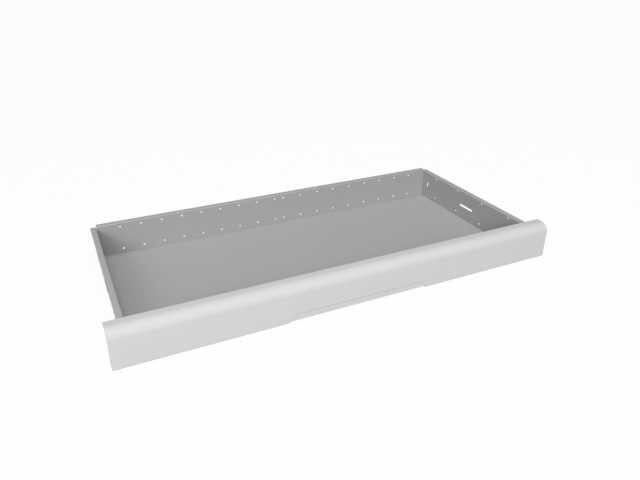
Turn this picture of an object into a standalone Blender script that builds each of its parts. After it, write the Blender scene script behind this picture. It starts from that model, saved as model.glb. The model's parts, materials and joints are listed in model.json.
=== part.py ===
"""Under desk drawer: a wide, shallow sheet-steel drawer on a pair of slim ball runners.

Frame: origin midway between the two runners, at their mid length and centre height.
+X is to the right, -Y is the side that the front panel faces, +Z is up. Metres.
"""

import math

import bmesh
import bpy
from mathutils import Matrix, Vector

# Tray: five folded sheets, spot-welded together
SHEET = 0.0009
GAP = 0.0003
SHEET_BEND = 0.0012
INNER_WIDTH = 0.9326
BACK_Y = 0.2320
INNER_DEPTH = 0.4300
FLOOR_Z = -0.0360
SIDE_TOP_Z = 0.0401
BACK_TOP_Z = 0.0443
FLANGE_REACH = 0.0133
BOTTOM_FLANGE = 0.0150
CORNER_TAB = 0.0180
FLANGE_OVERRUN = 0.0080
TAB_ABOVE_FLOOR = 0.0020
TAB_BELOW_TOP = 0.0040
FLANGE_CLEAR = 0.0030

# Two rows of divider holes
HOLE_RADIUS = 0.00225
LOWER_ROW = 0.0120
ROW_SPACING = 0.0580
BACK_MIDDLE_PAIR = 0.0250
BACK_PITCH = 0.0500
BACK_HOLES_EACH_SIDE = 9
SIDE_PITCH = 0.1000
SIDE_HOLES = 4
SIDE_MARGIN = 0.0650

# Slots in the side walls, and the slit at each end of the back wall
LONG_SLOT_Y = 0.0268
LONG_SLOT_LENGTH = 0.0520
LONG_SLOT_HEIGHT = 0.0060
REAR_SLOT_FROM_BACK = 0.0244
REAR_SLOT_WIDTH = 0.0048
REAR_SLOT_HEIGHT = 0.0120
REAR_SLOT_Z = 0.0047
CORNER_SLIT_WIDTH = 0.0022

# Front panel
FRONT_WIDTH = 1.0070
FRONT_SHEET = 0.0010
FRONT_FACE_Y = -0.2265
FRONT_TOP_Z = 0.0490
FRONT_BOTTOM_Z = -0.0352
FRONT_ROUND = 0.0210
FRONT_REAR_Y = -0.1905
FRONT_BEND = 0.0030
FRONT_TOP_LIP = 0.0060
FRONT_BOTTOM_LIP = 0.0130
GRIP_HALF = 0.1620
GRIP_TOP_HALF = 0.1500
GRIP_EDGE_Z = -0.0317
GRIP_TOP_Z = -0.0165
GRIP_DEPTH = 0.0016
GRIP_RAMP = 0.0022

# Ball runners
RUNNER_LENGTH = 0.4000
RUNNER_SHEET = 0.0010
RUNNER_DEPTH = 0.0097
BALL_RADIUS = 0.00225
BALL_OUT = 0.0050
BALL_UP = 0.0141
RACE_RADIUS = 0.0029
BUFFER_LENGTH = 0.0100
STRIP_LENGTH = 0.0900
STRIP_WIDTH = 0.0042
STRIP_THICKNESS = 0.0010
BALLS_PER_STRIP = 5
BALL_PITCH = 0.0190
END_CLEAR = 0.0020

# Half profiles of the runner members: (distance out from the tray, height above the middle)
CABINET_WEB_HALF = 0.0104
CABINET_NECK = 0.0124
DRAWER_HALF_PROFILE = ((0.0003, 0.0108), (0.0008, 0.0119), (0.0016, 0.0124), (0.0028, 0.0126))

# Rubber buffer at the rear end of each cabinet member
BUFFER_HALF_HEIGHT = 0.0085
BUFFER_INNER = 0.0022
BUFFER_CORNER = 0.0015

# Windows behind the long slot, so that it is open right through both runner members
DRAWER_WINDOW = (-0.0010, 0.0580, -0.0055, 0.0035)
CABINET_WINDOW = (-0.0010, 0.0690, -0.0103, 0.0035)
CABINET_HOLES_Y = (-0.1840, -0.0880, 0.1360, 0.1680)
CABINET_HOLE_RADIUS = 0.00235

# Release lever and the stop that it catches
LEVER_PIVOT_Y = 0.1100
LEVER_FINGER = 0.0400
LEVER_HUB = (-0.0100, 0.0080)
LEVER_NOSE = (0.0225, 0.0290)
LEVER_TAPER = 0.0030
LEVER_NECK_HALF = 0.0024
LEVER_HALF_HEIGHT = 0.0030
LEVER_NOSE_HALF = 0.0015
LEVER_OUT = (0.0017, 0.0040)
LEVER_NOSE_OUT = 0.0074
LEVER_BORE = 0.0018
RIVET_RADIUS = 0.0016
RIVET_HEAD_RADIUS = 0.0030
RIVET_HEAD_OUT = (0.0043, 0.0053)
STOP_Y = -0.1730
STOP_THICKNESS = 0.0008
STOP_HALF_HEIGHT = 0.0018
STOP_OUT = 0.0056

# Screws that hold the front panel
SCREW_X = (-0.4300, -0.3150, -0.2000, 0.2000, 0.3150, 0.4300)
SCREW_Z = -0.0285
SCREW_RADIUS = 0.0020
SCREW_HOLE = 0.0023
SCREW_HEAD_RADIUS = 0.0040
SCREW_HEAD_HEIGHT = 0.0024
SCREW_TIP = 0.0030

# Worked out from the above
INNER_X = INNER_WIDTH / 2
OUTER_X = INNER_X + SHEET
FRONT_WALL_Y = BACK_Y - INNER_DEPTH
TRAY_BOTTOM_Z = FLOOR_Z - SHEET - GAP - SHEET
TAB_BACK_Y = BACK_Y + SHEET + GAP
TAB_FRONT_Y = FRONT_WALL_Y - SHEET - GAP
LIP_Y = TAB_FRONT_Y - SHEET - GAP
ROW_Z = (FLOOR_Z + LOWER_ROW, FLOOR_Z + LOWER_ROW + ROW_SPACING)

SEGMENTS_HOLE = 12
SEGMENTS_ROUND = 16
FAR = 0.05


def clear_scene():
    for item in list(bpy.data.objects):
        bpy.data.objects.remove(item, do_unlink=True)


def material(name, colour, roughness, metallic):
    made = bpy.data.materials.new(name)
    made.use_nodes = True
    shader = made.node_tree.nodes["Principled BSDF"]
    shader.inputs["Base Color"].default_value = (*colour, 1.0)
    shader.inputs["Roughness"].default_value = roughness
    shader.inputs["Metallic"].default_value = metallic
    return made


def make_object(name, shape, finish=None):
    """Put a finished bmesh into the scene as one named object."""
    bmesh.ops.recalc_face_normals(shape, faces=shape.faces)
    mesh = bpy.data.meshes.new(name)
    shape.to_mesh(mesh)
    shape.free()
    made = bpy.data.objects.new(name, mesh)
    bpy.context.scene.collection.objects.link(made)
    if finish is not None:
        mesh.materials.append(finish)
    return made


def arc(centre, radius, start, end, steps):
    """Points on an arc in a profile's plane, angles in degrees."""
    points = []
    for step in range(steps + 1):
        angle = math.radians(start + (end - start) * step / steps)
        points.append((centre[0] + radius * math.cos(angle), centre[1] + radius * math.sin(angle)))
    return points


def thicken(path, thickness):
    """The closed outline of a sheet laid on the right of the path, or on its left if negative."""
    points = [Vector(point) for point in path]
    other = []
    for index, point in enumerate(points):
        before = points[max(index - 1, 0)]
        after = points[min(index + 1, len(points) - 1)]
        first = (point - before).normalized() if index else (after - point).normalized()
        second = (after - point).normalized() if index < len(points) - 1 else first
        normal_a = Vector((first.y, -first.x))
        normal_b = Vector((second.y, -second.x))
        mitre = (normal_a + normal_b).normalized()
        other.append(point + mitre * thickness / mitre.dot(normal_a))
    return points + other[::-1]


def prism(outline, start, end, place):
    """Extrude a closed outline between two stations; place(a, b, s) gives the point in space."""
    shape = bmesh.new()
    near = [shape.verts.new(place(a, b, start)) for a, b in outline]
    far = [shape.verts.new(place(a, b, end)) for a, b in outline]
    count = len(outline)
    for index in range(count):
        following = (index + 1) % count
        shape.faces.new((near[index], near[following], far[following], far[index]))
    shape.faces.new(near[::-1])
    shape.faces.new(far)
    return shape


def along_x(a, b, s):
    return (s, a, b)


def along_y(a, b, s):
    return (a, s, b)


def box_into(shape, low, high):
    size = [h - l for l, h in zip(low, high)]
    middle = [(h + l) / 2 for l, h in zip(low, high)]
    bmesh.ops.create_cube(shape, matrix=Matrix.Translation(middle) @ Matrix.Diagonal((*size, 1)))


def rod_into(shape, centre, axis, radius, length, segments):
    """A closed cylinder centred on a point, along x or y."""
    turn = Matrix.Rotation(math.pi / 2, 4, "Y" if axis == "x" else "X")
    bmesh.ops.create_cone(
        shape,
        cap_ends=True,
        segments=segments,
        radius1=radius,
        radius2=radius,
        depth=length,
        matrix=Matrix.Translation(centre) @ turn,
    )


def modify(target, shape, operation):
    """Add a Boolean whose second operand is a hidden, wire-drawn object."""
    tool = make_object(target.name + "_" + operation.lower() + "_tool", shape)
    tool.hide_render = True
    tool.display_type = "WIRE"
    change = target.modifiers.new(operation.title(), "BOOLEAN")
    change.operation = operation
    change.solver = "EXACT"
    change.object = tool
    return tool


def settle(target):
    """Replace the object's mesh by its evaluated one and drop its modifiers and their tools."""
    tools = [change.object for change in target.modifiers]
    graph = bpy.context.evaluated_depsgraph_get()
    graph.update()
    mesh = bpy.data.meshes.new_from_object(target.evaluated_get(graph))
    target.modifiers.clear()
    target.data = mesh
    for tool in tools:
        bpy.data.objects.remove(tool, do_unlink=True)


def smooth(target, angle=math.radians(40)):
    target.data.shade_smooth()
    target.data.set_sharp_from_angle(angle=angle)


def floor_pan(finish):
    shape = bmesh.new()
    half = INNER_X - GAP
    box_into(shape, (-half, FRONT_WALL_Y + GAP, FLOOR_Z - SHEET), (half, BACK_Y - GAP, FLOOR_Z))
    return make_object("floor_pan", shape, finish)


def wall_path(inner, out, top, flange_end, bottom_end, steps=3):
    """Bottom flange, wall and top flange seen from the end; out is the outward direction."""
    bend = SHEET_BEND
    outer = inner + out * SHEET
    low = TRAY_BOTTOM_Z
    path = [(bottom_end, low)]
    path += arc((outer - out * bend, low + bend), bend, 270, 270 + out * 90, steps)
    crown = top - SHEET
    path += arc((outer + out * bend, crown - bend), bend, 90 + out * 90, 90, steps)
    path += [(flange_end, crown)]
    return path


def end_wall(name, inner, out, top, finish):
    """A wall across the drawer: back wall, or the inner front wall."""
    path = wall_path(inner, out, top, inner + out * FLANGE_REACH, inner - out * BOTTOM_FLANGE)
    outline = thicken(path, -out * SHEET)
    half = INNER_X - GAP
    return make_object(name, prism(outline, -half, half, along_x), finish)


def back_wall(finish):
    wall = end_wall("back_wall", BACK_Y, 1, BACK_TOP_Z, finish)
    cuts = bmesh.new()
    middle_y = BACK_Y + SHEET / 2
    for side in (-1, 1):
        for index in range(BACK_HOLES_EACH_SIDE):
            x = side * (BACK_MIDDLE_PAIR / 2 + index * BACK_PITCH)
            for row in ROW_Z:
                rod_into(cuts, (x, middle_y, row), "y", HOLE_RADIUS, 4 * SHEET, SEGMENTS_HOLE)
        edge = side * (INNER_X - GAP)
        ends = sorted((edge - side * CORNER_SLIT_WIDTH, edge + side * GAP))
        box_into(
            cuts,
            (ends[0], BACK_Y - SHEET, REAR_SLOT_Z - REAR_SLOT_HEIGHT / 2),
            (ends[1], BACK_Y + 2 * SHEET, REAR_SLOT_Z + REAR_SLOT_HEIGHT / 2),
        )
    modify(wall, cuts, "DIFFERENCE")
    return wall


def inner_front_wall(finish):
    wall = end_wall("inner_front_wall", FRONT_WALL_Y, -1, SIDE_TOP_Z, finish)
    cuts = bmesh.new()
    for x in SCREW_X:
        rod_into(cuts, (x, FRONT_WALL_Y, SCREW_Z), "y", SCREW_HOLE, 4 * SHEET, SEGMENTS_HOLE)
    modify(wall, cuts, "DIFFERENCE")
    return wall


def side_wall(name, side, finish):
    """Side wall with its outward top flange, bottom flange and a welding tab at each end."""
    inner = side * INNER_X
    path = wall_path(
        inner, side, SIDE_TOP_Z, inner + side * FLANGE_REACH, inner - side * BOTTOM_FLANGE
    )
    start = TAB_FRONT_Y - SHEET
    end = BACK_Y + FLANGE_OVERRUN
    outline = thicken(path, -side * SHEET)
    wall = make_object(name, prism(outline, start, end, along_y), finish)

    tabs = bmesh.new()
    across = sorted((side * (OUTER_X - SHEET / 2), side * (INNER_X - CORNER_TAB)))
    for y in (TAB_FRONT_Y - SHEET, TAB_BACK_Y):
        box_into(
            tabs,
            (across[0], y, FLOOR_Z + TAB_ABOVE_FLOOR),
            (across[1], y + SHEET, SIDE_TOP_Z - TAB_BELOW_TOP),
        )
    modify(wall, tabs, "UNION")

    cuts = bmesh.new()
    for row in ROW_Z:
        for index in range(SIDE_HOLES):
            y = BACK_Y - SIDE_MARGIN - index * SIDE_PITCH
            centre = (inner + side * SHEET / 2, y, row)
            rod_into(cuts, centre, "x", HOLE_RADIUS, 4 * SHEET, SEGMENTS_HOLE)
    through = sorted((inner - side * SHEET, inner + side * 2 * SHEET))
    slots = (
        (LONG_SLOT_Y, 0.0, LONG_SLOT_LENGTH, LONG_SLOT_HEIGHT),
        (BACK_Y - REAR_SLOT_FROM_BACK, REAR_SLOT_Z, REAR_SLOT_WIDTH, REAR_SLOT_HEIGHT),
    )
    for y, z, length, height in slots:
        low = (through[0], y - length / 2, z - height / 2)
        box_into(cuts, low, (through[1], y + length / 2, z + height / 2))
    # the slit at the corner goes through the rear tab as well
    slit = sorted((inner - side * (CORNER_SLIT_WIDTH + GAP), inner - side * GAP))
    box_into(
        cuts,
        (slit[0], TAB_BACK_Y - GAP / 2, REAR_SLOT_Z - REAR_SLOT_HEIGHT / 2),
        (slit[1], TAB_BACK_Y + 2 * SHEET, REAR_SLOT_Z + REAR_SLOT_HEIGHT / 2),
    )
    # the bottom flange stops short of the end walls' own bottom flanges
    inward = sorted((inner - side * 2 * BOTTOM_FLANGE, inner - side * GAP))
    clear = BOTTOM_FLANGE + FLANGE_CLEAR
    for low_y, high_y in ((start - GAP, FRONT_WALL_Y + clear), (BACK_Y - clear, end + GAP)):
        box_into(cuts, (inward[0], low_y, -FAR), (inward[1], high_y, FLOOR_Z - GAP))
    modify(wall, cuts, "DIFFERENCE")

    # behind the rear tab only the top flange runs on
    behind = bmesh.new()
    wide = sorted((inner - side * FAR, inner + side * FAR))
    high = (wide[1], end + GAP, SIDE_TOP_Z - FLANGE_CLEAR)
    box_into(behind, (wide[0], TAB_BACK_Y + SHEET, -FAR), high)
    modify(wall, behind, "DIFFERENCE")
    return wall


def front_path():
    """Outer face of the front panel, from the fixing lip round to the rear edge of the top."""
    bend = FRONT_BEND
    path = [(LIP_Y, FRONT_BOTTOM_Z + FRONT_BOTTOM_LIP)]
    path += arc((LIP_Y - bend, FRONT_BOTTOM_Z + bend), bend, 0, -90, 3)
    path += arc((FRONT_FACE_Y + bend, FRONT_BOTTOM_Z + bend), bend, 270, 180, 4)
    crown = (FRONT_FACE_Y + FRONT_ROUND, FRONT_TOP_Z - FRONT_ROUND)
    path += arc(crown, FRONT_ROUND, 180, 90, 14)
    lip_bend = FRONT_BEND / 2
    path += arc((FRONT_REAR_Y - lip_bend, FRONT_TOP_Z - lip_bend), lip_bend, 90, 0, 3)
    path += [(FRONT_REAR_Y, FRONT_TOP_Z - FRONT_TOP_LIP)]
    return path


def press_grip(panel):
    """Press the middle of the lower edge inwards as a shallow lip with slanting ends."""
    shape = bmesh.new()
    shape.from_mesh(panel.data)
    slope = (GRIP_HALF - GRIP_TOP_HALF) / (GRIP_TOP_Z - GRIP_EDGE_Z)
    unit = math.hypot(1, slope)

    def inside(x, z):
        """How far a point lies inside the lip's outline."""
        sideways = (GRIP_HALF - (z - GRIP_EDGE_Z) * slope - abs(x)) / unit
        return min(sideways, GRIP_TOP_Z - z)

    for inset in (0, GRIP_RAMP):
        planes = [((0, 0, GRIP_TOP_Z - inset), (0, 0, 1))]
        for side in (-1, 1):
            corner = side * (GRIP_HALF - inset * unit)
            planes.append(((corner, 0, GRIP_EDGE_Z), (side, 0, slope)))
        for point, normal in planes:
            everything = shape.verts[:] + shape.edges[:] + shape.faces[:]
            bmesh.ops.bisect_plane(
                shape, geom=everything, dist=1e-7, plane_co=point, plane_no=normal
            )
    for vertex in shape.verts:
        x, y, z = vertex.co
        if y < FRONT_FACE_Y + 2 * FRONT_SHEET:
            share = min(max(inside(x, z) / GRIP_RAMP, 0), 1)
            vertex.co.y += GRIP_DEPTH * share
    shape.to_mesh(panel.data)
    shape.free()


def front_panel(finish):
    outline = thicken(front_path(), FRONT_SHEET)
    half = FRONT_WIDTH / 2
    panel = make_object("front_panel", prism(outline, -half, half, along_x), finish)
    cuts = bmesh.new()
    # finger opening: no bottom flange and no fixing lip across the middle
    behind = FRONT_FACE_Y + 2 * FRONT_BEND
    low = FRONT_BOTTOM_Z - FRONT_SHEET
    box_into(cuts, (-GRIP_HALF, behind, low), (GRIP_HALF, LIP_Y + SHEET, GRIP_TOP_Z))
    modify(panel, cuts, "DIFFERENCE")
    edge = bmesh.new()
    box_into(
        edge,
        (-GRIP_HALF, FRONT_FACE_Y - FRONT_SHEET, low),
        (GRIP_HALF, LIP_Y + 2 * SHEET, GRIP_EDGE_Z),
    )
    modify(panel, edge, "DIFFERENCE")
    holes = bmesh.new()
    for x in SCREW_X:
        centre = (x, LIP_Y - FRONT_SHEET / 2, SCREW_Z)
        rod_into(holes, centre, "y", SCREW_HOLE, 4 * FRONT_SHEET, SEGMENTS_HOLE)
    modify(panel, holes, "DIFFERENCE")
    settle(panel)
    press_grip(panel)
    smooth(panel)
    return panel


def turned(name, profile, finish, segments=SEGMENTS_ROUND):
    """Turn a (radius, height) profile about the local z axis into a closed solid."""
    shape = bmesh.new()
    rings = []
    for radius, height in profile:
        if radius == 0:
            rings.append([shape.verts.new((0, 0, height))])
            continue
        ring = []
        for step in range(segments):
            angle = 2 * math.pi * step / segments
            ring.append(shape.verts.new((radius * math.cos(angle), radius * math.sin(angle), height)))
        rings.append(ring)
    for lower, upper in zip(rings, rings[1:]):
        for step in range(segments):
            following = (step + 1) % segments
            corners = [lower[step % len(lower)], lower[following % len(lower)]]
            corners += [upper[following % len(upper)], upper[step % len(upper)]]
            shape.faces.new(list(dict.fromkeys(corners)))
    made = make_object(name, shape, finish)
    smooth(made)
    return made


def front_screw(name, x, finish):
    """Pan-head screw from inside the tray, through the inner wall into the panel's lip."""
    reach = (FRONT_WALL_Y + GAP) - (LIP_Y - FRONT_SHEET) + SCREW_TIP
    profile = [
        (0, -reach),
        (SCREW_RADIUS * 0.5, -reach),
        (SCREW_RADIUS, -reach + SCREW_RADIUS * 0.6),
        (SCREW_RADIUS, 0),
        (SCREW_HEAD_RADIUS, 0),
        (SCREW_HEAD_RADIUS, SCREW_HEAD_HEIGHT * 0.45),
        (SCREW_HEAD_RADIUS * 0.82, SCREW_HEAD_HEIGHT * 0.85),
        (SCREW_HEAD_RADIUS * 0.45, SCREW_HEAD_HEIGHT),
        (0, SCREW_HEAD_HEIGHT),
    ]
    screw = turned(name, profile, finish)
    screw.location = (x, FRONT_WALL_Y + GAP, SCREW_Z)
    screw.rotation_euler = (-math.pi / 2, 0, 0)
    return screw


def outward(side):
    """Maps a runner profile (distance out from the tray, height) to space along y."""
    return lambda a, b, s: (side * (OUTER_X + a), s, b)


def mirrored(half_path):
    """A profile given from its middle upwards, continued as its mirror image below."""
    return [(a, -b) for a, b in half_path[::-1]] + half_path


def window_into(cuts, middle, window):
    """A block that cuts a runner's web right through; window is (low y, high y, low z, high z)."""
    low_y, high_y, low_z, high_z = window
    low = (middle - RUNNER_SHEET, low_y, low_z)
    box_into(cuts, low, (middle + RUNNER_SHEET, high_y, high_z))


def cabinet_member(name, side, finish):
    """Outer runner member, fixed to the desk: web with a raceway along each edge."""
    web = RUNNER_DEPTH - RUNNER_SHEET
    race = arc((BALL_OUT, BALL_UP), RACE_RADIUS - RUNNER_SHEET / 2, 0, 180, 8)
    shoulder = BALL_OUT + RACE_RADIUS - RUNNER_SHEET / 2
    half = [(web, CABINET_WEB_HALF), (shoulder, CABINET_NECK)] + race
    outline = thicken(mirrored(half), RUNNER_SHEET)
    length = RUNNER_LENGTH / 2
    member = make_object(name, prism(outline, -length, length, outward(side)), finish)

    stop = bmesh.new()
    reach = sorted((side * (OUTER_X + STOP_OUT), side * (OUTER_X + web + RUNNER_SHEET / 2)))
    box_into(
        stop,
        (reach[0], STOP_Y, -STOP_HALF_HEIGHT),
        (reach[1], STOP_Y + STOP_THICKNESS, STOP_HALF_HEIGHT),
    )
    modify(member, stop, "UNION")

    cuts = bmesh.new()
    middle = side * (OUTER_X + web + RUNNER_SHEET / 2)
    for y in CABINET_HOLES_Y:
        centre = (middle, y, 0)
        rod_into(cuts, centre, "x", CABINET_HOLE_RADIUS, 4 * RUNNER_SHEET, SEGMENTS_HOLE)
    window_into(cuts, middle, CABINET_WINDOW)
    modify(member, cuts, "DIFFERENCE")
    return member


def drawer_member(name, side, finish):
    """Inner runner member, welded to the side wall."""
    radius = RACE_RADIUS - RUNNER_SHEET / 2
    half = list(DRAWER_HALF_PROFILE)
    half += arc((BALL_OUT, BALL_UP), radius, 235, 300, 4)
    outline = thicken(mirrored(half), RUNNER_SHEET)
    start = -RUNNER_LENGTH / 2 + END_CLEAR
    end = RUNNER_LENGTH / 2 - BUFFER_LENGTH - END_CLEAR
    member = make_object(name, prism(outline, start, end, outward(side)), finish)
    cuts = bmesh.new()
    window_into(cuts, side * (OUTER_X + GAP + RUNNER_SHEET / 2), DRAWER_WINDOW)
    modify(member, cuts, "DIFFERENCE")
    return member


def ball_strip(name, side, level, finish):
    """Retainer strip with its balls, running between the two members' raceways."""
    strip = bmesh.new()
    x = side * (OUTER_X + BALL_OUT)
    z = level * BALL_UP
    box_into(
        strip,
        (x - STRIP_WIDTH / 2, -STRIP_LENGTH / 2, z - STRIP_THICKNESS / 2),
        (x + STRIP_WIDTH / 2, STRIP_LENGTH / 2, z + STRIP_THICKNESS / 2),
    )
    made = make_object(name, strip, finish)
    balls = bmesh.new()
    for index in range(BALLS_PER_STRIP):
        y = (index - (BALLS_PER_STRIP - 1) / 2) * BALL_PITCH
        bmesh.ops.create_uvsphere(
            balls,
            u_segments=12,
            v_segments=8,
            radius=BALL_RADIUS,
            matrix=Matrix.Translation((x, y, z)),
        )
    modify(made, balls, "UNION")
    return made


def rear_buffer(name, side, finish):
    """Rubber block at the back of the runner, which the drawer member closes against."""
    half_z = BUFFER_HALF_HEIGHT
    low = BUFFER_INNER
    high = RUNNER_DEPTH - RUNNER_SHEET - GAP
    corner = BUFFER_CORNER
    outline = arc((high - corner, half_z - corner), corner, 0, 90, 3)
    outline += arc((low + corner, half_z - corner), corner, 90, 180, 3)
    outline += arc((low + corner, -half_z + corner), corner, 180, 270, 3)
    outline += arc((high - corner, -half_z + corner), corner, 270, 360, 3)
    end = RUNNER_LENGTH / 2
    shape = prism(outline, end - BUFFER_LENGTH, end, outward(side))
    return make_object(name, shape, finish)


def release_lever(name, side, finish):
    """Lever in the drawer member's channel; its origin is on its pivot's axis."""
    outline = arc((-LEVER_FINGER + LEVER_HALF_HEIGHT, 0), LEVER_HALF_HEIGHT, 90, 270, 8)
    edge = [(LEVER_HUB[0], LEVER_HALF_HEIGHT), (LEVER_HUB[1], LEVER_HALF_HEIGHT)]
    edge += [(LEVER_NOSE[0] - LEVER_TAPER, LEVER_NECK_HALF), (LEVER_NOSE[1], LEVER_NOSE_HALF)]
    outline += [(a, -b) for a, b in edge] + edge[::-1]
    low, high = LEVER_OUT
    body = prism(outline, side * low, side * high, along_x)
    made = make_object(name, body, finish)
    nose = bmesh.new()
    reach = sorted((side * (low + 0.0005), side * LEVER_NOSE_OUT))
    box_into(
        nose,
        (reach[0], LEVER_NOSE[0], -LEVER_NOSE_HALF * 0.95),
        (reach[1], LEVER_NOSE[1] - 0.0005, LEVER_NOSE_HALF * 0.95),
    )
    modify(made, nose, "UNION")
    bore = bmesh.new()
    rod_into(bore, (side * (low + high) / 2, 0, 0), "x", LEVER_BORE, 0.006, SEGMENTS_HOLE)
    modify(made, bore, "DIFFERENCE")
    made.location = (side * OUTER_X, LEVER_PIVOT_Y, 0)
    for change in made.modifiers:
        change.object.parent = made
    return made


def lever_rivet(name, side, finish):
    """Rivet that the release lever turns on."""
    low, high = RIVET_HEAD_OUT
    start = GAP + RUNNER_SHEET + GAP
    profile = [
        (0, start),
        (RIVET_RADIUS, start),
        (RIVET_RADIUS, low),
        (RIVET_HEAD_RADIUS, low),
        (RIVET_HEAD_RADIUS * 0.85, high - 0.0002),
        (RIVET_HEAD_RADIUS * 0.5, high),
        (0, high),
    ]
    rivet = turned(name, profile, finish)
    rivet.location = (side * OUTER_X, LEVER_PIVOT_Y, 0)
    rivet.rotation_euler = (0, side * math.pi / 2, 0)
    return rivet


def carriage(name, pieces, location=(0, 0, 0)):
    """Parent a moving group to an empty on its joint's axis."""
    holder = bpy.data.objects.new(name, None)
    holder.location = location
    bpy.context.scene.collection.objects.link(holder)
    for piece in pieces:
        piece.parent = holder
        piece.matrix_parent_inverse = Matrix.Translation(location).inverted()


def main():
    clear_scene()
    tray = material("tray_grey", (0.40, 0.40, 0.40), 0.45, 0.0)
    front = material("front_light_grey", (0.66, 0.67, 0.665), 0.40, 0.0)
    zinc = material("zinc_plated_steel", (0.62, 0.63, 0.64), 0.35, 1.0)
    acetal = material("dark_acetal", (0.03, 0.03, 0.035), 0.45, 0.0)
    lever = material("lever_plastic", (0.04, 0.04, 0.045), 0.50, 0.0)
    rubber = material("buffer_rubber", (0.02, 0.02, 0.02), 0.80, 0.0)
    screw = material("screw_zinc", (0.70, 0.71, 0.72), 0.30, 1.0)

    moving = [
        floor_pan(tray),
        back_wall(tray),
        inner_front_wall(tray),
        front_panel(front),
    ]
    for number, x in enumerate(SCREW_X, 1):
        moving.append(front_screw(f"front_screw_{number}", x, screw))
    for word, side in (("left", -1), ("right", 1)):
        moving.append(side_wall(f"{word}_side_wall", side, tray))
        moving.append(drawer_member(f"{word}_drawer_member", side, zinc))
        moving.append(lever_rivet(f"{word}_lever_rivet", side, screw))
        cabinet_member(f"{word}_cabinet_member", side, zinc)
        rear_buffer(f"{word}_rear_buffer", side, rubber)
        strips = [
            ball_strip(f"{word}_upper_ball_strip", side, 1, acetal),
            ball_strip(f"{word}_lower_ball_strip", side, -1, acetal),
        ]
        carriage(f"{word}_ball_carriage", strips)
        release_lever(f"{word}_release_lever", side, lever)
    carriage("drawer_carriage", moving)


main()
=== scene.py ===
import json
import math

import bmesh
import bpy
from mathutils import Matrix, Vector


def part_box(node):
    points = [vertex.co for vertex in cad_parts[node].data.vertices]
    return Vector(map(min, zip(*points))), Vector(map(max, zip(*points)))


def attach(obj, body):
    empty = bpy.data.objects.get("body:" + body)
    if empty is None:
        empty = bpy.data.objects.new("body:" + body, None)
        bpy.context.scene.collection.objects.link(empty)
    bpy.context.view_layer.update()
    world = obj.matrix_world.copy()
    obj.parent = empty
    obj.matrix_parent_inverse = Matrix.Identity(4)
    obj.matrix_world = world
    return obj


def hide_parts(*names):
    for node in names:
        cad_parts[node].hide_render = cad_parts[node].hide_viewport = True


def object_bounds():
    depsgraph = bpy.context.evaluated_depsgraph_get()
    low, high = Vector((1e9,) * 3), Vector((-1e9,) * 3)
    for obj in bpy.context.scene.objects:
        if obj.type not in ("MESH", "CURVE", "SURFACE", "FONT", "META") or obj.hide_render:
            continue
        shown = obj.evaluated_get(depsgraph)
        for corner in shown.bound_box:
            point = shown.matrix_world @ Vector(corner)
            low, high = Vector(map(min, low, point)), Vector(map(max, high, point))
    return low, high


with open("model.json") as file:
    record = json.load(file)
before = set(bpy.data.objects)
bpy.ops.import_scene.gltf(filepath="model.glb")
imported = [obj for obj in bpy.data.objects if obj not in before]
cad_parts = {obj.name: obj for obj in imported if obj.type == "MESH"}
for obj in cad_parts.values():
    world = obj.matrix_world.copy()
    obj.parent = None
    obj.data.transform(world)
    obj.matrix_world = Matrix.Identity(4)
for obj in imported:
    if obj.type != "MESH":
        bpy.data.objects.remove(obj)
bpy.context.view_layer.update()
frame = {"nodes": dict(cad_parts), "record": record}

# Under desk drawer: powder-coated tray and front, zinc-plated ball runners, moulded small parts.
# Metres, +Z up; the front panel faces -Y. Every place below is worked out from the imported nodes.

# Camera
CAMERA_AT = (-0.52185, -1.11843, 0.63553)
CAMERA_PITCH = 63.275
CAMERA_YAW = -25.498
CAMERA_LENS = 32.64

# World and floor. FLOOR_GLOW is how bright the floor looks, FLOOR_BOUNCE what it sends onto the drawer.
WORLD_WHITE = 0.15
FLOOR_GLOW = 0.965
FLOOR_BOUNCE = 0.85
FLOOR_PAINT = 0.02
FLOOR_DROP = 0.0010
FLOOR_HALF = 30.0

# Softboxes: name, place, size, watts. All of them face the middle of the drawer.
SOFTBOXES = (
    ("overhead_softbox", (0.0, 0.2, 3.6), (2.6, 2.2), 38.0),
    ("front_softbox", (-0.3, -2.2, 3.0), (2.4, 1.8), 76.0),
    ("key_softbox", (-3.1, -4.2, 2.6), (3.1, 2.3), 196.0),
)

# Paint and metal
TRAY_GREY = (0.376, 0.376, 0.374)
FRONT_GREY = (0.526, 0.534, 0.530)
RUNNER_METAL = (0.62, 0.63, 0.65)
SCREW_METAL = (0.70, 0.71, 0.73)
BALL_METAL = (0.72, 0.72, 0.73)
ACETAL_BLACK = (0.030, 0.031, 0.034)
LEVER_BLACK = (0.040, 0.040, 0.044)
RUBBER_BLACK = (0.022, 0.022, 0.022)

# Ball strips
BALL_COUNT = 5
BALL_PITCH = 0.0190
BALL_RADIUS = 0.00225
STRIP_THICKNESS = 0.0010
STRIP_MARGIN = 0.0001
STRIP_BODY = 0.93
STRIP_RAIL = 0.72
RAIL_HEIGHT = 0.0003
POCKET_LIP = 0.00045
POCKET_INNER = 0.90
POCKET_OUTER = 0.99

# Front screws
SCREW_RADIUS = 0.0020
SCREW_TIP = 0.5
SCREW_TAPER = 0.6
SCREW_HEAD_RADIUS = 0.0040
SCREW_HEAD_HEIGHT = 0.0024
HEAD_EDGE = 0.0009
HEAD_FLAT = 0.28
HEAD_CHAMFER = 0.00025
THREAD_PITCH = 0.0008
THREAD_DEPTH = 0.0003
THREAD_END = -0.0008
THREAD_STEPS = 6
RECESS_REACH = 0.0021
RECESS_WIDTH = 0.0008
RECESS_DEPTH = 0.0013
RECESS_FLOOR = 0.72
RECESS_MOUTH = 1.1
RECESS_ABOVE = 0.001

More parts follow.
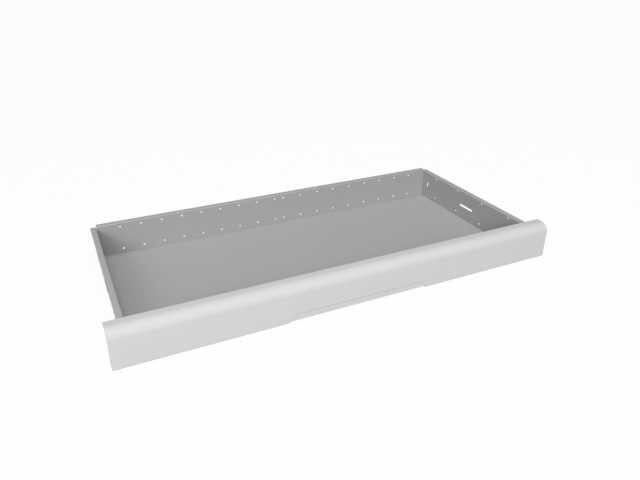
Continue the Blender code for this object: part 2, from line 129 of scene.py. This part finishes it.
# Lever rivets
RIVET_RADIUS = 0.0016
RIVET_CHAMFER = 0.0002
RIVET_HEAD_RADIUS = 0.0030
RIVET_HEAD_HEIGHT = 0.0010
RIVET_HEAD_RIM = 0.0003
RIVET_DISH = 0.0010
RIVET_DISH_DEPTH = 0.00035

# Release levers
LEVER_PLATE = 0.0023
LEVER_EDGE = 0.0003
LEVER_TIP = 0.0015
LEVER_HUB = (-0.010, 0.008)
LEVER_NECK_BACK = 0.0095
LEVER_NECK = 0.0024
LEVER_ARM = 0.04
LEVER_BORE = 0.0018
CATCH_START = 0.0065
CATCH_END = 0.0005
CATCH_INSET = 0.0004
CATCH_HEIGHT = 0.95
LEVER_RIB = 0.0003
LEVER_RIBS = 6
RIB_START = 0.004
RIB_PITCH = 0.0018
RIB_WIDTH = 0.0008
RIB_HEIGHT = 0.75
RIB_ROOT = 0.0002

# Rear buffers
GROOVE_HALF = 0.0005
GROOVE_DEPTH = 0.0008
PAST = 0.001

ROUND_STEPS = 40


# ---------------------------------------------------------------- material helpers


class Shader:
    """A node tree with a Principled shader, and short calls that add and join nodes."""

    def __init__(self, name):
        self.material = bpy.data.materials.new(name)
        self.material.use_nodes = True
        self.tree = self.material.node_tree
        self.tree.nodes.clear()
        self.output = self.node("OutputMaterial")
        self.base = self.node("BsdfPrincipled")
        self.join(self.base.outputs["BSDF"], self.output.inputs["Surface"])
        self.place = self.node("TexCoord").outputs["Object"]

    def node(self, kind, **settings):
        made = self.tree.nodes.new("ShaderNode" + kind)
        for key, value in settings.items():
            setattr(made, key, value)
        return made

    def join(self, source, target):
        self.tree.links.new(source, target)

    def stretched(self, scale):
        """Object coordinates stretched along the axes."""
        mapping = self.node("Mapping")
        mapping.inputs["Scale"].default_value = scale
        self.join(self.place, mapping.inputs["Vector"])
        return mapping.outputs["Vector"]

    def noise(self, scale, detail=3.0, rough=0.5, place=None):
        made = self.node("TexNoise")
        made.inputs["Scale"].default_value = scale
        made.inputs["Detail"].default_value = detail
        made.inputs["Roughness"].default_value = rough
        self.join(place or self.place, made.inputs["Vector"])
        return made.outputs["Fac"]

    def spread(self, source, low, high, start=0.3, end=0.7):
        """Map a 0 to 1 pattern onto a range of values."""
        made = self.node("MapRange")
        made.inputs["From Min"].default_value = start
        made.inputs["From Max"].default_value = end
        made.inputs["To Min"].default_value = low
        made.inputs["To Max"].default_value = high
        self.join(source, made.inputs["Value"])
        return made.outputs["Result"]

    def blend(self, amount, first, second):
        """Colour mix; first and second are colours or sockets."""
        made = self.node("Mix", data_type="RGBA")
        self.join(amount, made.inputs["Factor"])
        for value, socket in ((first, made.inputs[6]), (second, made.inputs[7])):
            if isinstance(value, tuple):
                socket.default_value = (*value, 1.0)
            else:
                self.join(value, socket)
        return made.outputs[2]

    def bump(self, height, strength, distance, normal=None):
        made = self.node("Bump")
        made.inputs["Strength"].default_value = strength
        made.inputs["Distance"].default_value = distance
        self.join(height, made.inputs["Height"])
        if normal is not None:
            self.join(normal, made.inputs["Normal"])
        return made.outputs["Normal"]

    def round_edges(self, radius):
        """Normal that runs softly round the edges, and a mask that is 1 on them."""
        bevel = self.node("Bevel", samples=4)
        bevel.inputs["Radius"].default_value = radius
        true_normal = self.node("NewGeometry").outputs["Normal"]
        turned = self.node("VectorMath", operation="DOT_PRODUCT")
        self.join(bevel.outputs["Normal"], turned.inputs[0])
        self.join(true_normal, turned.inputs[1])
        mask = self.spread(turned.outputs["Value"], 1.0, 0.0, 0.80, 0.99)
        return bevel.outputs["Normal"], mask


def scaled(colour, factor):
    return tuple(channel * factor for channel in colour)


def powder_coat(name, colour, roughness, sheen):
    """Finely textured powder coat: slight mottling, orange peel, and edges painted lighter, partly as
    thinner paint and partly as a painted highlight along the bends.
    """
    paint = Shader(name)
    mottle = paint.spread(paint.noise(14.0, 4.0, 0.6), 0.0, 1.0)
    body = paint.blend(mottle, scaled(colour, 0.985), scaled(colour, 1.015))
    speck = paint.spread(paint.noise(2600.0, 2.0), 0.0, 1.0, 0.35, 0.65)
    body = paint.blend(speck, scaled(colour, 0.97), body)
    normal, edges = paint.round_edges(0.0007)
    # Edges painted lighter in patches: partly thinner paint, partly a painted highlight along the
    # bends.
    edge_wear_and_highlight_noise = paint.noise(90.0, 3.0)
    edge_wear_and_highlight = paint.node("Math", operation="MULTIPLY")
    paint.join(edges, edge_wear_and_highlight.inputs[0])
    paint.join(paint.spread(edge_wear_and_highlight_noise, 0.25, 0.85, 0.40, 0.75), edge_wear_and_highlight.inputs[1])
    body = paint.blend(edge_wear_and_highlight.outputs["Value"], body, scaled(colour, 1.22))
    paint.join(body, paint.base.inputs["Base Color"])
    rough = paint.spread(paint.noise(40.0, 5.0), roughness - 0.05, roughness + 0.05)
    paint.join(rough, paint.base.inputs["Roughness"])
    peel = paint.bump(paint.noise(850.0, 2.0), 0.22, 0.0002, normal)
    grain = paint.bump(paint.noise(3200.0, 1.0), 0.12, 0.0001, peel)
    paint.join(grain, paint.base.inputs["Normal"])
    paint.base.inputs["IOR"].default_value = 1.45
    paint.base.inputs["Specular IOR Level"].default_value = sheen
    return paint.material


def zinc_plate(name, colour, roughness):
    """Bright zinc on cold-rolled steel: streaks along the length, cloudy passivation."""
    zinc = Shader(name)
    streak = zinc.noise(1.0, 6.0, 0.65, zinc.stretched((1500.0, 14.0, 1500.0)))
    cloud = zinc.noise(35.0, 4.0, 0.6)
    tone = zinc.blend(zinc.spread(cloud, 0.0, 1.0), scaled(colour, 0.90), colour)
    tone = zinc.blend(zinc.spread(streak, 0.0, 0.5), tone, scaled(colour, 1.12))
    normal, edges = zinc.round_edges(0.0004)
    tone = zinc.blend(zinc.spread(edges, 0.0, 0.35, 0.0, 1.0), tone, scaled(colour, 1.25))
    zinc.join(tone, zinc.base.inputs["Base Color"])
    zinc.base.inputs["Metallic"].default_value = 1.0
    rough = zinc.spread(streak, roughness - 0.06, roughness + 0.10)
    zinc.join(rough, zinc.base.inputs["Roughness"])
    zinc.join(zinc.bump(streak, 0.15, 0.0001, normal), zinc.base.inputs["Normal"])
    return zinc.material


def moulded(name, colour, roughness, grain_scale=1800.0, grain=0.25):
    """Spark-eroded plastic or rubber: fine grain, soft sheen changes and paler rubbed edges."""
    part = Shader(name)
    cloud = part.noise(60.0, 4.0)
    body = part.blend(part.spread(cloud, 0.0, 1.0), scaled(colour, 0.88), scaled(colour, 1.12))
    normal, edges = part.round_edges(0.0003)
    body = part.blend(part.spread(edges, 0.0, 0.3, 0.0, 1.0), body, scaled(colour, 2.2))
    part.join(body, part.base.inputs["Base Color"])
    rough = part.spread(cloud, roughness - 0.06, roughness + 0.06)
    part.join(rough, part.base.inputs["Roughness"])
    texture = part.noise(grain_scale, 2.0)
    part.join(part.bump(texture, grain, 0.00008, normal), part.base.inputs["Normal"])
    return part.material


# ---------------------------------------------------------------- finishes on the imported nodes


TRAY_PAINT = powder_coat("tray_powder_coat", TRAY_GREY, 0.50, 0.40)
FRONT_PAINT = powder_coat("front_powder_coat", FRONT_GREY, 0.72, 0.22)
ZINC = zinc_plate("runner_zinc_plate", RUNNER_METAL, 0.30)
SCREW_ZINC = zinc_plate("screw_zinc_plate", SCREW_METAL, 0.26)
ACETAL = moulded("strip_dark_acetal", ACETAL_BLACK, 0.42)
LEVER_PLASTIC = moulded("lever_black_plastic", LEVER_BLACK, 0.48)
RUBBER = moulded("buffer_black_rubber", RUBBER_BLACK, 0.72, 900.0, 0.4)
STEEL = zinc_plate("polished_ball_steel", BALL_METAL, 0.12)

FINISH_OF_SLOT = {
    "tray_paint": TRAY_PAINT,
    "front_paint": FRONT_PAINT,
    "runner_zinc": ZINC,
    "screw_steel": SCREW_ZINC,
    "strip_acetal": ACETAL,
    "lever_plastic": LEVER_PLASTIC,
    "buffer_rubber": RUBBER,
}


def finish_nodes():
    """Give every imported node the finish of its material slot."""
    for part in frame["record"]["subparts"]:
        node = frame["nodes"][part["node"]]
        finish = FINISH_OF_SLOT[part["material_slot"]]
        for slot in node.material_slots:
            slot.material = finish


# ---------------------------------------------------------------- detailed pieces

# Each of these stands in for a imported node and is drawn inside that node's own box.

def piece_from(name, shape, finish, body, node=None, smooth=True):
    """Turn mesh data into a finished piece that rides on a body."""
    bmesh.ops.recalc_face_normals(shape, faces=shape.faces)
    mesh = bpy.data.meshes.new(name)
    shape.to_mesh(mesh)
    shape.free()
    if smooth:
        mesh.shade_smooth()
    mesh.materials.append(finish)
    made = bpy.data.objects.new(name, mesh)
    bpy.context.scene.collection.objects.link(made)
    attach(made, body)
    if node:
        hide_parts(node)
    return made


def rings(profile, steps, turn=None):
    """Turned solid about +Z from (radius, height) pairs; turn may change a radius at an angle."""
    shape = bmesh.new()
    loops = []
    for radius, height in profile:
        if radius == 0:
            loops.append([shape.verts.new((0, 0, height))])
            continue
        loop = []
        for index in range(steps):
            angle = 2 * math.pi * index / steps
            reach = turn(radius, height, angle) if turn else radius
            loop.append(shape.verts.new((reach * math.cos(angle), reach * math.sin(angle), height)))
        loops.append(loop)
    for below, above in zip(loops, loops[1:]):
        for index in range(steps):
            after = (index + 1) % steps
            corners = [below[index % len(below)], below[after % len(below)]]
            corners += [above[after % len(above)], above[index % len(above)]]
            unique = list(dict.fromkeys(corners))
            shape.faces.new(unique)
    return shape


def skin(shape, levels):
    """Close a stack of loops into a solid."""
    count = len(levels[0])
    shape.faces.new(levels[0][::-1])
    shape.faces.new(levels[-1])
    for below, above in zip(levels, levels[1:]):
        for index in range(count):
            after = (index + 1) % count
            shape.faces.new((below[index], below[after], above[after], above[index]))
    bmesh.ops.recalc_face_normals(shape, faces=shape.faces)


def cut(piece, shape, name):
    """Take a shape out of a piece for good."""
    mesh = bpy.data.meshes.new(name)
    shape.to_mesh(mesh)
    shape.free()
    cutter = bpy.data.objects.new(name, mesh)
    cutter.matrix_world = piece.matrix_world
    bpy.context.scene.collection.objects.link(cutter)
    change = piece.modifiers.new("cut", "BOOLEAN")
    change.operation = "DIFFERENCE"
    change.solver = "EXACT"
    change.object = cutter
    bpy.context.view_layer.update()
    ready = piece.evaluated_get(bpy.context.evaluated_depsgraph_get())
    fresh = bpy.data.meshes.new_from_object(ready)
    piece.modifiers.remove(change)
    piece.data = fresh
    bpy.data.objects.remove(cutter)


def block(shape, low, high):
    """Box between two corners."""
    spread = [high[axis] - low[axis] for axis in range(3)]
    centre = [(high[axis] + low[axis]) / 2 for axis in range(3)]
    place = Matrix.Translation(centre) @ Matrix.Diagonal((*spread, 1))
    bmesh.ops.create_cube(shape, size=1, matrix=place)


def ball_strip(side, level):
    """Retainer strip with a rail along each edge, a ring round each pocket, and five polished balls."""
    node = f"{side}_{level}_ball_strip"
    body = f"{side}_balls"
    low, high = (Vector(corner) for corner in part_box(node))
    centre = (low + high) / 2
    half_x = (high.x - low.x) / 2 - STRIP_MARGIN
    strip = bmesh.new()
    thick = STRIP_THICKNESS / 2
    start, end = low.y - centre.y, high.y - centre.y
    block(strip, (-half_x * STRIP_BODY, start, -thick), (half_x * STRIP_BODY, end, thick))
    for edge in (-1, 1):
        inner, outer = sorted((edge * half_x * STRIP_RAIL, edge * half_x * STRIP_BODY))
        block(strip, (inner, start, -thick), (outer, end, thick + RAIL_HEIGHT))
    bmesh.ops.translate(strip, verts=strip.verts, vec=centre)
    retainer = piece_from(f"{node}_retainer", strip, ACETAL, body, node, False)
    bevel = retainer.modifiers.new("soft_edges", "BEVEL")
    bevel.width = 0.00012
    bevel.segments = 2
    reach = thick + POCKET_LIP
    inner, outer = BALL_RADIUS * POCKET_INNER, BALL_RADIUS * POCKET_OUTER
    pocket = ((inner, -reach), (outer, -reach), (outer, reach), (inner, reach), (inner, -reach))
    for index in range(BALL_COUNT):
        y = centre.y + (index - (BALL_COUNT - 1) / 2) * BALL_PITCH
        lip = rings(pocket, 32)
        bmesh.ops.translate(lip, verts=lip.verts, vec=(centre.x, y, centre.z))
        ring = piece_from(f"{node}_pocket_{index + 1}", lip, ACETAL, body, None, False)
        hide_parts(node)
        ball = bmesh.new()
        place = Matrix.Translation((centre.x, y, centre.z))
        bmesh.ops.create_uvsphere(
            ball, u_segments=32, v_segments=20, radius=BALL_RADIUS, matrix=place
        )
        round_ball = piece_from(f"{node}_ball_{index + 1}", ball, STEEL, body)
        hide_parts(node)


def thread(radius, height, angle):
    """Radius of the screw's shank: a single-start thread below the head."""
    plain = radius < SCREW_RADIUS * 0.75 or radius > SCREW_RADIUS * 1.01
    if plain or height > THREAD_END:
        return radius
    phase = (height / THREAD_PITCH - angle / (2 * math.pi)) % 1.0
    return radius - THREAD_DEPTH * abs(2 * phase - 1)


def cross_recess():
    """Cross-shaped cutter, narrower at the bottom, that reaches just above the screw's head."""
    recess = bmesh.new()
    half = RECESS_WIDTH / 2
    outline = []
    for quarter in range(4):
        cosine = math.cos(quarter * math.pi / 2)
        sine = math.sin(quarter * math.pi / 2)
        # the two corners at the end of an arm, then the inner corner of the cross
        for x, y in ((-half, RECESS_REACH), (half, RECESS_REACH), (half, half)):
            outline.append((x * cosine + y * sine, y * cosine - x * sine))
    levels = []
    bottom = (SCREW_HEAD_HEIGHT - RECESS_DEPTH, RECESS_FLOOR)
    top = (SCREW_HEAD_HEIGHT + RECESS_ABOVE, RECESS_MOUTH)
    for height, size in (bottom, top):
        levels.append([recess.verts.new((x * size, y * size, height)) for x, y in outline])
    skin(recess, levels)
    return recess


def front_screw(number):
    """Pan-head screw with a cross recess and a rolled thread."""
    node = f"front_screw_{number}"
    low, high = (Vector(corner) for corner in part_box(node))
    centre = (low + high) / 2
    seat = high.y - SCREW_HEAD_HEIGHT
    reach = seat - low.y
    steps = int(reach / (THREAD_PITCH / THREAD_STEPS))
    profile = [(0, -reach), (SCREW_RADIUS * SCREW_TIP, -reach)]
    for index in range(1, steps):
        height = -reach + index * reach / steps
        rise = (height + reach) / (SCREW_RADIUS * SCREW_TAPER)
        taper = min(1.0, SCREW_TIP + (1 - SCREW_TIP) * rise)
        profile.append((SCREW_RADIUS * taper, height))
    profile += [(SCREW_RADIUS, 0), (SCREW_HEAD_RADIUS * 0.97, 0), (SCREW_HEAD_RADIUS, HEAD_CHAMFER)]
    for index in range(9):
        angle = math.radians(10 * index)
        height = HEAD_EDGE + (SCREW_HEAD_HEIGHT - HEAD_EDGE) * math.sin(angle)
        spread = HEAD_FLAT + (1 - HEAD_FLAT) * math.cos(angle)
        profile.append((SCREW_HEAD_RADIUS * spread, height))
    profile.append((0, SCREW_HEAD_HEIGHT))
    shape = rings(profile, ROUND_STEPS, thread)
    screw = piece_from(node + "_cross", shape, SCREW_ZINC, "drawer", node)
    recess = cross_recess()
    cut(screw, recess, "recess")
    turn = Matrix.Rotation(-math.pi / 2, 4, "X")
    stand = Matrix.Translation((centre.x, seat, centre.z)) @ turn
    screw.data.transform(stand)
    screw.data.shade_smooth()
    screw.data.set_sharp_from_angle(angle=math.radians(35))


def lever_rivet(side):
    """Rolled rivet with a dished, domed head."""
    node = f"{side}_lever_rivet"
    sign = -1 if side == "left" else 1
    low, high = (Vector(corner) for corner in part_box(node))
    centre = (low + high) / 2
    length = high.x - low.x
    under = length - RIVET_HEAD_HEIGHT
    profile = [
        (0, 0),
        (RIVET_RADIUS * 0.85, 0),
        (RIVET_RADIUS, RIVET_CHAMFER),
        (RIVET_RADIUS, under),
        (RIVET_HEAD_RADIUS * 0.96, under),
        (RIVET_HEAD_RADIUS, under + RIVET_CHAMFER),
    ]
    for index in range(7):
        angle = math.radians(15 * index)
        reach = RIVET_DISH + (RIVET_HEAD_RADIUS - RIVET_DISH) * math.cos(angle)
        crown = (RIVET_HEAD_HEIGHT - RIVET_HEAD_RIM) * math.sin(angle)
        profile.append((reach * 0.995, under + RIVET_HEAD_RIM + crown))
    profile += [(RIVET_DISH * 0.6, length - RIVET_HEAD_RIM), (0, length - RIVET_DISH_DEPTH)]
    shape = rings(profile, ROUND_STEPS)
    start = low.x if sign > 0 else high.x
    turn = Matrix.Rotation(sign * math.pi / 2, 4, "Y")
    stand = Matrix.Translation((start, centre.y, centre.z)) @ turn
    bmesh.ops.transform(shape, matrix=stand, verts=shape.verts)
    rivet = piece_from(node + "_rolled", shape, SCREW_ZINC, "drawer", node)
    rivet.data.set_sharp_from_angle(angle=math.radians(40))


def pivot_of(body):
    """Where a hinged body turns."""
    for joint in frame["record"]["behaviour"]["joints"]:
        if joint["child"] == body:
            return Vector(joint["pos_m"])
    raise LookupError(body)


def lever_outline(front, back, half):
    """Side view of a lever: round finger end, parallel hub, tapered neck and blunt tip."""
    outline = []
    for index in range(13):
        angle = math.radians(90 + 15 * index)
        outline.append((front + half + half * math.cos(angle), half * math.sin(angle)))
    neck = back - LEVER_NECK_BACK
    edge = [(LEVER_HUB[0], half), (LEVER_HUB[1], half), (neck, LEVER_NECK), (back, LEVER_TIP)]
    outline += [(y, -z) for y, z in edge]
    outline += edge[::-1]
    return outline


def release_lever(side):
    """Moulded release lever: a plate with softened edges, a bore, a catch and a ribbed finger end."""
    node = f"{side}_release_lever"
    body = f"{side}_lever"
    sign = -1 if side == "left" else 1
    low, high = (Vector(corner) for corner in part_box(node))
    centre = pivot_of(body)
    start = low.x if sign > 0 else high.x
    half = (high.z - low.z) / 2
    outline = lever_outline(low.y - centre.y, high.y - centre.y, half)
    shape = bmesh.new()
    levels = []
    depths = (
        (0.0, LEVER_EDGE),
        (LEVER_EDGE, 0.0),
        (LEVER_PLATE - LEVER_EDGE, 0.0),
        (LEVER_PLATE, LEVER_EDGE),
    )
    for depth, inset in depths:
        along, up = 1 - inset / LEVER_ARM, 1 - inset / half
        x = start + sign * depth
        levels.append(
            [shape.verts.new((x, centre.y + y * along, centre.z + z * up)) for y, z in outline]
        )
    skin(shape, levels)
    lever = piece_from(node + "_moulded", shape, LEVER_PLASTIC, body, node, False)
    bore = bmesh.new()
    bmesh.ops.create_cone(
        bore, cap_ends=True, segments=32, radius1=LEVER_BORE, radius2=LEVER_BORE, depth=0.02
    )
    turn = Matrix.Translation(centre) @ Matrix.Rotation(math.pi / 2, 4, "Y")
    bmesh.ops.transform(bore, matrix=turn, verts=bore.verts)
    cut(lever, bore, "bore")

    # catch at the nose
    catch = bmesh.new()
    reach = sorted((start + sign * CATCH_INSET, high.x if sign > 0 else low.x))
    rise = LEVER_TIP * CATCH_HEIGHT
    block(
        catch,
        (reach[0], high.y - CATCH_START, centre.z - rise),
        (reach[1], high.y - CATCH_END, centre.z + rise),
    )
    nose = piece_from(node + "_catch", catch, LEVER_PLASTIC, body, None, False)
    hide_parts(node)
    soften(nose, 0.0003)

    # ribs for the finger
    ribs = bmesh.new()
    face = start + sign * LEVER_PLATE
    across = sorted((face - sign * RIB_ROOT, face + sign * LEVER_RIB))
    rise = half * RIB_HEIGHT
    for index in range(LEVER_RIBS):
        y = low.y + RIB_START + index * RIB_PITCH
        block(ribs, (across[0], y, centre.z - rise), (across[1], y + RIB_WIDTH, centre.z + rise))
    grip = piece_from(node + "_ribs", ribs, LEVER_PLASTIC, body, None, False)
    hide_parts(node)
    soften(grip, 0.00015)


def soften(piece, width):
    """Small rounds along a piece's edges."""
    bevel = piece.modifiers.new("soft_edges", "BEVEL")
    bevel.width = width
    bevel.segments = 2
    bevel.limit_method = "ANGLE"


def rear_buffer(side):
    """Rubber block with rounded edges and two grooves across the face that the drawer meets."""
    node = f"{side}_rear_buffer"
    low, high = (Vector(corner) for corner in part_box(node))
    shape = bmesh.new()
    block(shape, low, high)
    buffer = piece_from(node + "_moulded", shape, RUBBER, "runners", node, False)
    grooves = bmesh.new()
    third = (high.z - low.z) / 3
    for z in (low.z + third, high.z - third):
        block(
            grooves,
            (low.x - PAST, low.y - PAST, z - GROOVE_HALF),
            (high.x + PAST, low.y + GROOVE_DEPTH, z + GROOVE_HALF),
        )
    cut(buffer, grooves, "grooves")
    soften(buffer, 0.0007)
    buffer.modifiers["soft_edges"].segments = 3


# ---------------------------------------------------------------- room, light and camera


def white_floor():
    """Large pale floor just under the tray; seen from below it lets the view through."""
    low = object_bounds()[0].z - FLOOR_DROP
    shape = bmesh.new()
    bmesh.ops.create_grid(shape, x_segments=2, y_segments=2, size=FLOOR_HALF)
    mesh = bpy.data.meshes.new("floor")
    shape.to_mesh(mesh)
    shape.free()
    floor = bpy.data.objects.new("floor", mesh)
    floor.location.z = low
    bpy.context.scene.collection.objects.link(floor)

    finish = bpy.data.materials.new("floor_white")
    finish.use_nodes = True
    tree = finish.node_tree
    tree.nodes.clear()
    output = tree.nodes.new("ShaderNodeOutputMaterial")
    glow = tree.nodes.new("ShaderNodeEmission")
    glow.inputs["Color"].default_value = (1, 1, 1, 1)
    seen = tree.nodes.new("ShaderNodeLightPath")
    strength = tree.nodes.new("ShaderNodeMapRange")
    strength.inputs["To Min"].default_value = FLOOR_BOUNCE
    strength.inputs["To Max"].default_value = FLOOR_GLOW
    tree.links.new(seen.outputs["Is Camera Ray"], strength.inputs["Value"])
    tree.links.new(strength.outputs["Result"], glow.inputs["Strength"])
    paint = tree.nodes.new("ShaderNodeBsdfDiffuse")
    paint.inputs["Color"].default_value = (FLOOR_PAINT, FLOOR_PAINT, FLOOR_PAINT, 1)
    both = tree.nodes.new("ShaderNodeAddShader")
    clear = tree.nodes.new("ShaderNodeBsdfTransparent")
    side = tree.nodes.new("ShaderNodeNewGeometry")
    choose = tree.nodes.new("ShaderNodeMixShader")
    tree.links.new(glow.outputs[0], both.inputs[0])
    tree.links.new(paint.outputs[0], both.inputs[1])
    tree.links.new(side.outputs["Backfacing"], choose.inputs[0])
    tree.links.new(both.outputs[0], choose.inputs[1])
    tree.links.new(clear.outputs[0], choose.inputs[2])
    tree.links.new(choose.outputs[0], output.inputs["Surface"])
    mesh.materials.append(finish)


def white_world():
    world = bpy.data.worlds.new("studio")
    world.use_nodes = True
    background = world.node_tree.nodes["Background"]
    background.inputs["Color"].default_value = (1, 1, 1, 1)
    background.inputs["Strength"].default_value = WORLD_WHITE
    bpy.context.scene.world = world


def softbox(name, place, size, power):
    light = bpy.data.lights.new(name, "AREA")
    light.shape = "RECTANGLE"
    light.size, light.size_y = size
    light.energy = power
    lamp = bpy.data.objects.new(name, light)
    lamp.location = place
    aim = -Vector(place)
    lamp.rotation_euler = aim.to_track_quat("-Z", "Y").to_euler()
    lamp.visible_camera = False
    bpy.context.scene.collection.objects.link(lamp)


def lights():
    for name, place, size, power in SOFTBOXES:
        softbox(name, place, size, power)


def camera():
    data = bpy.data.cameras.new("camera")
    data.lens = CAMERA_LENS
    data.sensor_width = 36.0
    item = bpy.data.objects.new("camera", data)
    item.location = CAMERA_AT
    item.rotation_euler = (math.radians(CAMERA_PITCH), 0.0, math.radians(CAMERA_YAW))
    bpy.context.scene.collection.objects.link(item)
    bpy.context.scene.camera = item


finish_nodes()
for hand in ("left", "right"):
    for row in ("upper", "lower"):
        ball_strip(hand, row)
    lever_rivet(hand)
    release_lever(hand)
    rear_buffer(hand)
for screw_number in range(1, 7):
    front_screw(screw_number)
white_floor()
white_world()
lights()
camera()
bpy.context.scene.view_settings.view_transform = "Standard"
